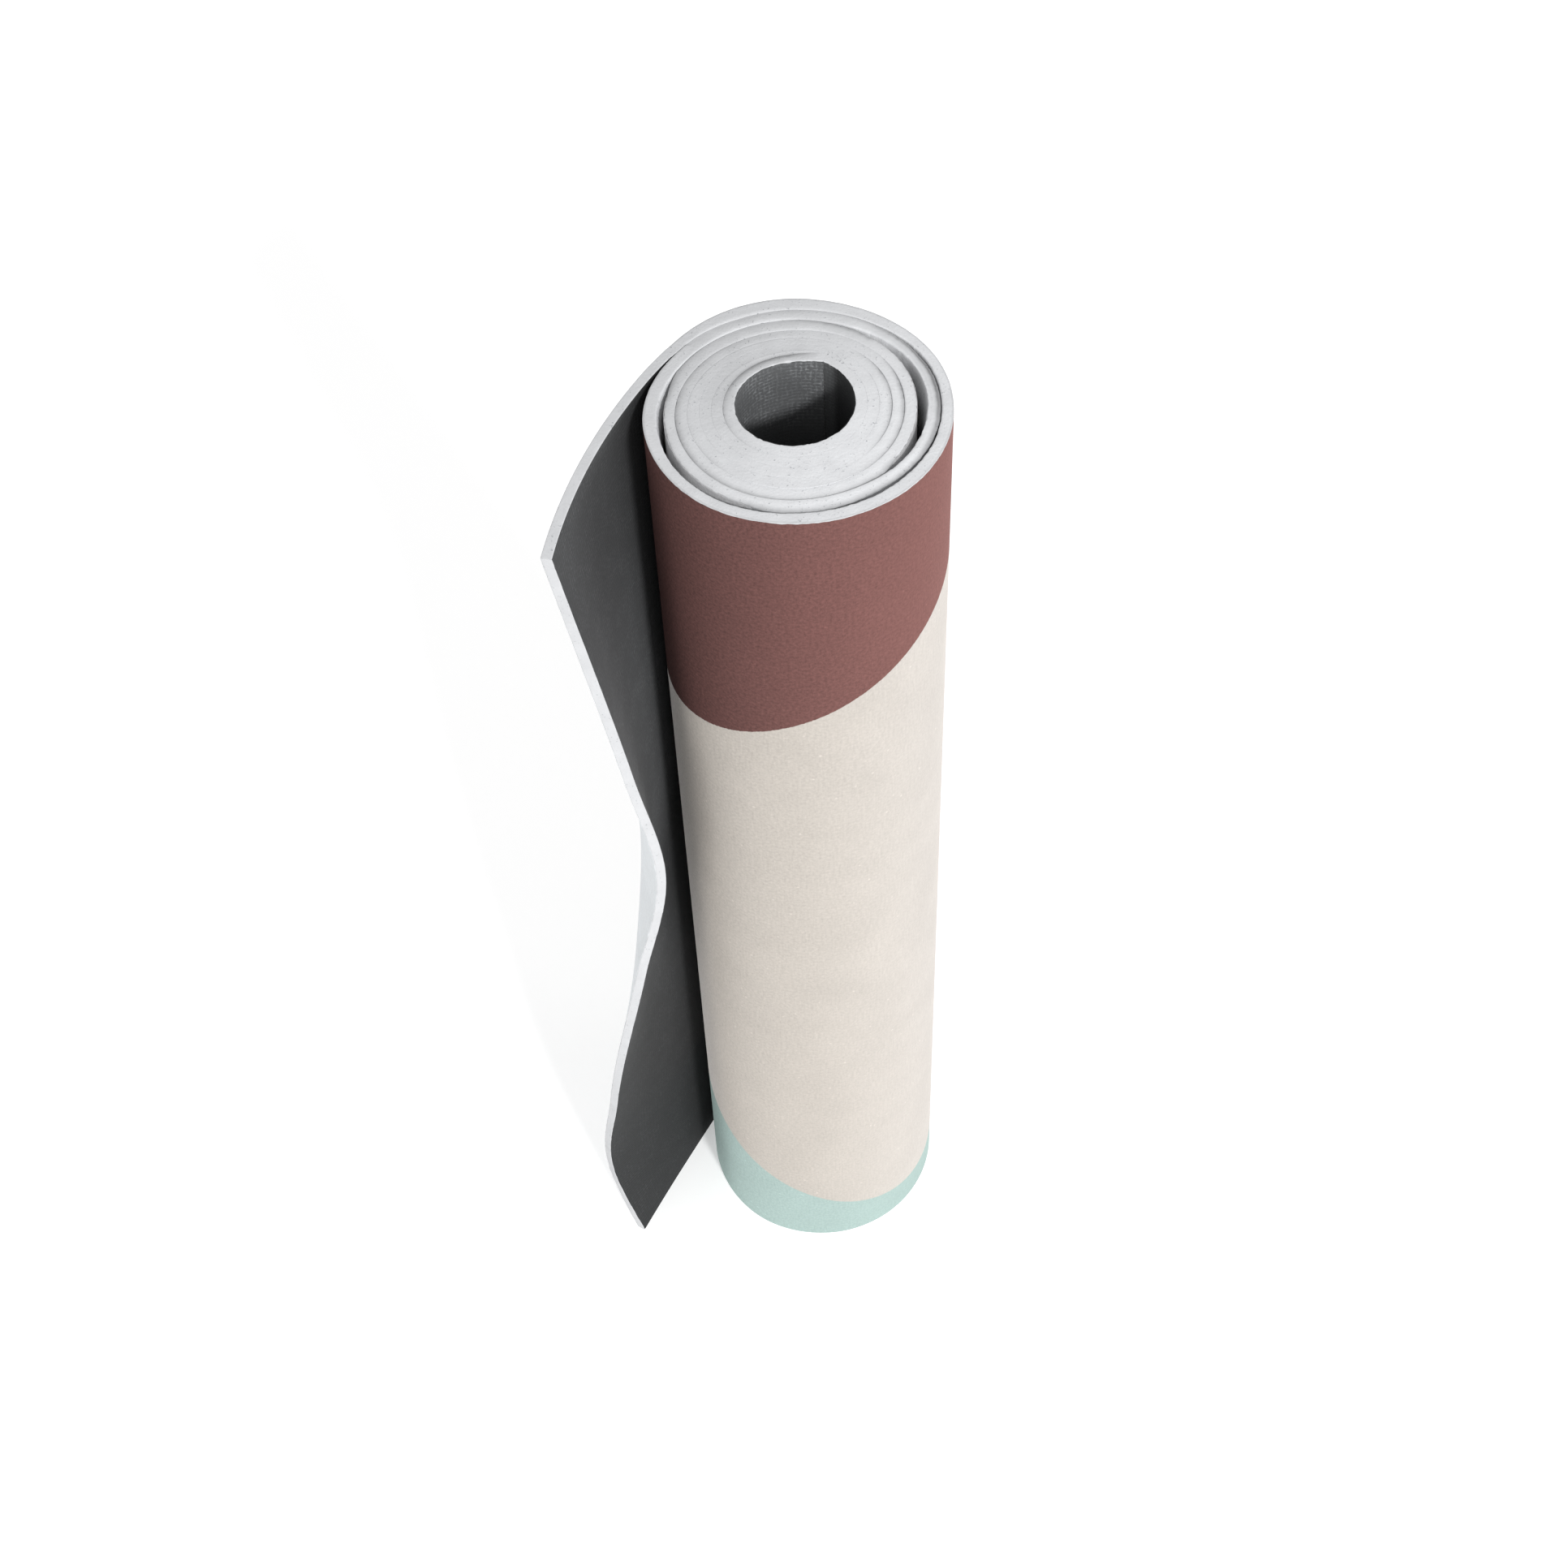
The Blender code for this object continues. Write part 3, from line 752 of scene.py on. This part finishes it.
def brushed_print():
    """Dyed microfibre suede: soft sheen at glancing angles, tufts of nap, and dyes that meet in
    wavy borders with a slight bleed. Drawn on the unrolled mat, in metres. The true tufts are
    0.3 mm wide; they are drawn 1.5 mm wide to be seen."""
    material, shader, add_node = new_material("microfibre_suede_printed")
    unrolled = add_node("UVMap", uv_map="unrolled")
    along, across, _ = add_node("SeparateXYZ", unrolled).node.outputs
    bleed = add_node("TexNoise", unrolled, Scale=1 / (1.2 * MM), Detail=2.0)
    bleed = add_node("Math", bleed, BORDER_BLEED, -BORDER_BLEED / 2, operation="MULTIPLY_ADD")
    height_on_mat = add_node("Math", across, bleed, operation="ADD")
    length_on_mat = add_node("Math", along, bleed, operation="ADD")

    def wave(place, middle, swing, length, shift):
        """A border: a middle place plus a sine of the place along it."""
        phase = add_node("Math", place, TURN_ANGLE / length, shift, operation="MULTIPLY_ADD")
        swung = add_node("Math", phase, operation="SINE")
        return add_node("Math", swung, swing, middle, operation="MULTIPLY_ADD")

    def beyond(border, place):
        """0 before the border and 1 past it, eased over its blurred width."""
        past = add_node("Math", place, border, operation="SUBTRACT")
        return add_node("MapRange", past, -BORDER_EASE, BORDER_EASE, **EASED)

    # The upper colour's border rises where the roll hides it, and the last colour begins at a
    # curved border, a little before the mat leaves the roll
    lift = add_node("MapRange", along, show_start - 0.05, show_start + 0.02, 0.30, 0.0, **EASED)
    upper_border = wave(along, middle=500 * MM, swing=44 * MM, length=0.52, shift=3.6)
    upper_border = add_node("Math", upper_border, lift, operation="ADD")
    upper = beyond(upper_border, height_on_mat)
    lower_border = wave(along, middle=62 * MM, swing=40 * MM, length=0.39, shift=0.6)
    over_lower = beyond(lower_border, height_on_mat)
    tail_middle = seam_length - TAIL_BEFORE_SEAM
    tail_border = wave(height_on_mat, tail_middle, swing=24 * MM, length=0.7, shift=0.9)
    tail = beyond(tail_border, length_on_mat)
    # Beige: grey deep in the roll. At the roll's left edge, in the free end's shade, it is painted
    # pale (painted light); just right of that it is painted darker, easing to full tone towards the
    # front (painted shade)
    out_of_left_shade = add_node("MapRange", along, show_start + 0.12, show_end, **EASED)
    beige = add_node("Mix", out_of_left_shade, _6=srgb("#A8A29B"), _7=srgb("#B9B4AF"), **COLOURS)
    left_edge_light = add_node(
        "MapRange", along, show_start + 0.035, show_start + 0.085, 1.0, 0.0, **EASED
    )
    beige = add_node("Mix", left_edge_light, _6=beige, _7=srgb("#E8E4E0"), **COLOURS)
    outer_turns = add_node("MapRange", along, show_start - 0.10, show_start - 0.06, **EASED)
    beige = add_node("Mix", outer_turns, _6=srgb("#B4B4B5"), _7=beige, **COLOURS)
    # Maroon: painted darkest at the roll's left side and easing to full tone towards the front:
    # painted shade
    out_of_left_shade = add_node("MapRange", along, show_start, show_end, **EASED)
    maroon = add_node("Mix", out_of_left_shade, _6=srgb("#352220"), _7=srgb("#744F4B"), **COLOURS)
    colour = add_node("Mix", upper, _6=beige, _7=maroon, **COLOURS)
    colour = add_node("Mix", over_lower, _6=srgb("#93A5A1"), _7=colour, **COLOURS)
    colour = add_node("Mix", tail, _6=colour, _7=srgb("#C6C9CB"), **COLOURS)
    # The nap's streaks, faint clouds, tufts, and pale flecks of lint
    stretched = add_node("Mapping", unrolled, Scale=(1 / (0.9 * MM), 1 / (9 * MM), 1))
    nap = add_node("TexNoise", stretched, Scale=1.0, Detail=3.0)
    cloud = add_node("TexNoise", unrolled, Scale=1 / (30 * MM), Detail=4.0)
    tuft = add_node("TexNoise", unrolled, Scale=1 / (1.5 * MM), Detail=4.0, Roughness=0.7)
    fleck = add_node("TexVoronoi", unrolled, Scale=1 / (8 * MM), output="Distance")
    # The nap is roughest where the mat bends most sharply away, in the shade of the free end
    coarse = add_node("MapRange", along, show_start, show_end, 2.2, 0.8, **EASED)
    coarse_above = add_node("Math", upper, 0.55, 0.45, operation="MULTIPLY_ADD")
    coarse = add_node("Math", coarse, coarse_above, operation="MULTIPLY")
    tuft = add_node("Math", tuft, 0.5, operation="SUBTRACT")
    tuft = add_node("Math", tuft, coarse, operation="MULTIPLY")
    streak = add_node("Math", nap, 0.20, 0.90, operation="MULTIPLY_ADD")
    shade = add_node("Math", streak, tuft, operation="ADD")
    cloud = add_node("Math", cloud, 0.16, 0.92, operation="MULTIPLY_ADD")
    shade = add_node("Math", shade, cloud, operation="MULTIPLY")
    lint = add_node("MapRange", fleck, 0.05, 0.10, 0.22, 0.0, **EASED)
    shade = add_node("Math", shade, lint, operation="ADD")
    colour = add_node("VectorMath", colour, operation="SCALE", Scale=shade)
    fibre = add_node("TexNoise", unrolled, Scale=1 / (0.5 * MM), Detail=3.0)
    relief = add_node("Math", nap, fibre, operation="ADD")
    bump = add_node("Bump", Strength=0.25, Distance=0.2 * MM, Height=relief)
    set_inputs(shader, {"Base Color": colour, "Sheen Tint": colour, "Normal": bump})
    shader.inputs["Roughness"].default_value = 0.9
    shader.inputs["Specular IOR Level"].default_value = 0.2
    shader.inputs["Sheen Weight"].default_value = 0.8
    shader.inputs["Sheen Roughness"].default_value = 0.5
    return material


def rolled_skin(name, low, high, top, material):
    """A thin section carried round the roll between two depths, up to its top: four corners and
    two points half way up. Its UV map is the length along the mat and the height, in metres."""
    low, high, base, top = np.broadcast_arrays(low, high, SKIN_BASE, top)
    middle_height = (base + top) / 2
    depths = np.stack([low, low, low, high, high, high], axis=1)
    heights = np.stack([base, middle_height, top, top, middle_height, base], axis=1)
    points, faces = swept_ring(rolled_sections(depths, heights))
    along = np.repeat(station, depths.shape[1])
    uv = np.stack([along, heights.ravel()], axis=1)
    return mesh_piece(name, points, faces, material, uv)


def free_skin(name, low, high, material):
    """A thin sheet over the free end between two depths, as far in from the cut edges as the
    foam's corners are round. Its UV map carries the roll's on."""
    margin = SHOWN_RADIUS
    share, back, height = free_grid(np.array([2.0, 0.0]) * MM, columns=56, rows=200)
    places = slab(share, back, height, low, high, margin, SKIN_EDGE_RADIUS)
    points, faces = slab_mesh(places, across=1)
    along, level, _ = grid_lengths(share, back, height, margin)
    uv = np.stack([seam_length + along.ravel(), level.ravel()], axis=1)
    return mesh_piece(name, points, faces, material, np.concatenate([uv, uv]))


hidden_share = 1 - np.minimum(gap / EDGE_SHOWN_GAP, 1)
hidden_share = np.where(last_turn, SHOWN_MARGIN_SHARE * to_seam, hidden_share)
print_top = foam_top - outer_drop - outer_radius - HIDDEN_MARGIN * hidden_share
print_material = brushed_print()
roll_print = rolled_skin(
    "roll_printed_suede", thickness - 2 * PRINT_FILM, thickness, print_top, print_material
)
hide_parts("roll_print_face")
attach(roll_print, "roll")

free_print = free_skin(
    "free_end_printed_suede", end_thickness - 2 * PRINT_FILM, end_thickness, print_material
)
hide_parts("free_end_print_face")
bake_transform(free_print)


# The backing. A charcoal woven scrim is sunk into the foam's underside as the mat's grip. It lies
# inside each turn, so it shows in the core hollow, on the slack turns and within the free end.
ROW_PITCH = 1.9 * MM
COLUMN_PITCH = 2.3 * MM
WANDER = 2.6 * MM
BACKING_DEPTH = 1.5 * BACKING_FILM
# In the slack turns the scrim ends well below the rim
SLACK_MARGIN = 25 * MM
SLACK_MARGIN_TURNS = (5.4, 5.6)


def woven_grip():
    """Coated scrim: rows of threads along the mat every 1.9 mm and across it every 2.3 mm, sunk in
    a dull charcoal coating, and worn pale in dashes where they stand highest."""
    material, shader, add_node = new_material("scrim_backing_coated")
    one_turn = float(np.interp(1, turn, station))
    unrolled = add_node("UVMap", uv_map="unrolled")
    along, height, _ = add_node("SeparateXYZ", unrolled).node.outputs
    wander = add_node("TexNoise", unrolled, Scale=1 / (9 * MM), Detail=3.0, output="Color")
    moved = add_node("VectorMath", wander, (WANDER,) * 3, unrolled, operation="MULTIPLY_ADD")

    def threads(axis, pitch, dash_along, dash_across):
        """Ridges at this pitch, a squared sine, and the dashes on them that are worn pale, of
        these sizes along the mat and across it."""
        place = add_node("SeparateXYZ", moved, output=axis)
        phase = add_node("Math", place, TURN_ANGLE / pitch, operation="MULTIPLY")
        wave = add_node("Math", phase, operation="SINE")
        wave = add_node("Math", wave, 0.5, 0.5, operation="MULTIPLY_ADD")
        ridge = add_node("Math", wave, 2.0, operation="POWER")
        dashes = add_node("Mapping", moved, Scale=(1 / dash_along, 1 / dash_across, 1))
        dashes = add_node("TexNoise", dashes, Scale=1.0, Detail=2.0)
        dashes = add_node("MapRange", dashes, 0.42, 0.76)
        return ridge, add_node("Math", ridge, dashes, operation="MULTIPLY")

    row, row_rubbed = threads("Y", ROW_PITCH, 1.7 * MM, 1.2 * MM)
    column, column_rubbed = threads("X", COLUMN_PITCH, 1.1 * MM, 2.6 * MM)
    column = add_node("Math", column, 0.7, operation="MULTIPLY")
    ridge = add_node("Math", row, column, operation="MAXIMUM")
    tone_marks = add_node("Math", column_rubbed, 0.55, row_rubbed, operation="MULTIPLY_ADD")
    # Worn in patches. The pale dashes are painted strongest by the inner end, where light falls
    # into the hollow (painted light), and left out deep in the hollow, in its shadow (painted
    # shade)
    worn = add_node("TexNoise", unrolled, Scale=1 / (14 * MM), Detail=1.0)
    worn = add_node("MapRange", worn, 0.35, 0.65, 0.35, 0.9, **EASED)
    tone_marks = add_node("Math", tone_marks, worn, operation="MULTIPLY")
    painted_light_by_end = add_node("MapRange", along, 0.04, 0.10, 0.85, 0.4, **EASED)
    tone_marks = add_node("Math", tone_marks, painted_light_by_end, operation="MULTIPLY")
    in_hollow = add_node("MapRange", along, one_turn, one_turn + 0.01, 1.0, 0.0, **EASED)
    hollow_shadow = add_node("MapRange", height, 0.565, 0.585, 1.0, 0.0, **EASED)
    hollow_shadow = add_node("Math", in_hollow, hollow_shadow, operation="MULTIPLY")
    out_of_hollow_shadow = add_node("Math", 1.0, hollow_shadow, operation="SUBTRACT")
    tone_marks = add_node("Math", tone_marks, out_of_hollow_shadow, operation="MULTIPLY")
    colour = add_node("Mix", tone_marks, _6=srgb("#474849"), _7=srgb("#808284"), **COLOURS)

    def band(start, full, still_full, end):
        """1 between two heights, eased to 0 beyond them."""
        rising = add_node("MapRange", height, start, full, **EASED)
        falling = add_node("MapRange", height, still_full, end, 1.0, 0.0, **EASED)
        return add_node("Math", rising, falling, operation="MULTIPLY")

    # The free end is painted paler half way up (painted light), and darker by its root where the
    # roll shades it, for longer where it is tucked in, and darker near the floor (painted shade)
    mid_height_light = band(0.18, 0.33, 0.45, 0.58)
    tucked = band(0.18, 0.28, 0.30, 0.38)
    past_root = add_node("Math", tucked, -0.016, along, operation="MULTIPLY_ADD")
    out_of_roll_shade = add_node("MapRange", past_root, seam_length + 0.015, seam_length + 0.06, **EASED)
    free_light_and_shade = add_node("Math", out_of_roll_shade, 0.62, 0.32, operation="MULTIPLY_ADD")
    # Painted shade near the floor
    above_floor = add_node("MapRange", height, 0.06, 0.32, 0.48, 1.0, **EASED)
    free_light_and_shade = add_node("Math", above_floor, free_light_and_shade, operation="MULTIPLY")
    mid_height_light = add_node("Math", mid_height_light, out_of_roll_shade, operation="MULTIPLY")
    free_light_and_shade = add_node("Math", mid_height_light, 0.65, free_light_and_shade, operation="MULTIPLY_ADD")
    # In the roll it is painted palest by the inner end, where light falls into the hollow, darker
    # on the rest of the first turn, the hollow's shaded wall, and paler again on the outer turns,
    # to light their walls in the gaps: painted light and shade
    first_turn = add_node("MapRange", along, 0.05, 0.12, 1.8, 0.45, **EASED)
    later = add_node("MapRange", along, one_turn - 0.010, one_turn - 0.004, 0.0, 0.9, **EASED)
    roll_light_and_shade = add_node("Math", first_turn, later, operation="ADD")
    on_free = add_node("MapRange", along, seam_length - 0.03, seam_length, **EASED)
    tone = add_node("Mix", on_free, _2=roll_light_and_shade, _3=free_light_and_shade, data_type="FLOAT")
    colour = add_node("VectorMath", colour, operation="SCALE", Scale=tone)
    grain = add_node("TexNoise", unrolled, Scale=1 / (0.6 * MM), Detail=3.0)
    relief = add_node("Math", grain, 0.5, ridge, operation="MULTIPLY_ADD")
    bump = add_node("Bump", Strength=0.3, Distance=0.2 * MM, Height=relief)
    set_inputs(shader, {"Base Color": colour, "Normal": bump})
    shader.inputs["Roughness"].default_value = 0.85
    shader.inputs["Specular IOR Level"].default_value = 0.25
    return material


backing_material = woven_grip()
slack_margin = SLACK_MARGIN * inner_open * eased(turn, *SLACK_MARGIN_TURNS) * to_seam
backing_top = foam_top - inner_drop - inner_radius
backing_top = backing_top - np.where(turn < 1, 0, HIDDEN_MARGIN * (1 - inner_open)) * to_seam
roll_backing = rolled_skin(
    "roll_woven_backing", 0, BACKING_DEPTH, backing_top - slack_margin, backing_material
)
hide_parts("roll_backing")
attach(roll_backing, "roll")

free_backing = free_skin("free_end_woven_backing", 0, BACKING_DEPTH, backing_material)
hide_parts("free_end_backing")
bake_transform(free_backing)


# The room: a seamless pale floor that glows a little and a pale surround, under a soft distant
# light from the front right and above, and two broader, weaker ones from low at either side.
FLOOR_HALF_SIZE = 6.0
FLOOR_GLOW = 0.35
SURROUND_STRENGTH = 0.64
WHITE = (1.0, 1.0, 1.0, 1)

floor_mesh = bpy.data.meshes.new("floor")
corners = [(-1, -1), (1, -1), (1, 1), (-1, 1)]
floor_mesh.from_pydata(
    [(FLOOR_HALF_SIZE * x, FLOOR_HALF_SIZE * y, 0) for x, y in corners], [], [(0, 1, 2, 3)]
)
floor_material, floor_shader, _ = new_material("matte_white_paper")
floor_shader.inputs["Base Color"].default_value = (0.9, 0.9, 0.9, 1)
floor_shader.inputs["Roughness"].default_value = 0.9
floor_shader.inputs["Specular IOR Level"].default_value = 0.1
floor_shader.inputs["Emission Color"].default_value = WHITE
floor_shader.inputs["Emission Strength"].default_value = FLOOR_GLOW
floor_mesh.materials.append(floor_material)
floor = bpy.data.objects.new("floor", floor_mesh)
bpy.context.scene.collection.objects.link(floor)

world = bpy.data.worlds.new("pale_surround")
world.use_nodes = True
set_inputs(world.node_tree.nodes["Background"], {"Color": WHITE, "Strength": SURROUND_STRENGTH})
bpy.context.scene.world = world


def soft_sun(name, towards, spread, strength):
    """A distant light that shines along this direction, its edges softened by its angular width."""
    light = bpy.data.lights.new(name, "SUN")
    light.angle = spread
    light.energy = strength
    lamp = bpy.data.objects.new(name, light)
    lamp.rotation_euler = Vector(towards).to_track_quat("-Z", "Y").to_euler()
    bpy.context.scene.collection.objects.link(lamp)


KEY_SPREAD = np.radians(8)
FILL_SPREAD = np.radians(25)
soft_sun("key_light", (-0.351, 0.787, -0.507), KEY_SPREAD, strength=2.0)
soft_sun("left_fill_light", (0.52, 0.84, -0.16), FILL_SPREAD, strength=0.9)
soft_sun("right_fill_light", (-0.97, 0.18, -0.14), FILL_SPREAD, strength=0.7)


# The photograph's view: from the front and well above, about 1.5 m away, with a slight roll.
# The camera's place is given from the foot of the roll's axis.
PITCH_DOWN = np.radians(52.526)
ROLL = np.radians(-2.738)
CAMERA_FROM_AXIS = np.array([-12.05, -758.6, 1339.85]) * MM

camera_data = bpy.data.cameras.new("camera")
camera_data.sensor_width = 36
camera_data.lens = 57.37
camera_data.clip_end = 50
camera = bpy.data.objects.new("camera", camera_data)
forward = np.array([0, np.cos(PITCH_DOWN), -np.sin(PITCH_DOWN)])
level_up = np.array([0, np.sin(PITCH_DOWN), np.cos(PITCH_DOWN)])
level_right = np.array([1.0, 0, 0])
right = np.cos(ROLL) * level_right + np.sin(ROLL) * level_up
up = -np.sin(ROLL) * level_right + np.cos(ROLL) * level_up
pose = np.eye(4)
pose[:3] = np.stack([right, up, -forward, np.append(roll_axis, 0) + CAMERA_FROM_AXIS], axis=1)
camera.matrix_world = Matrix(pose.tolist())
bpy.context.scene.collection.objects.link(camera)
bpy.context.scene.camera = camera
bpy.context.scene.view_settings.view_transform = "Standard"
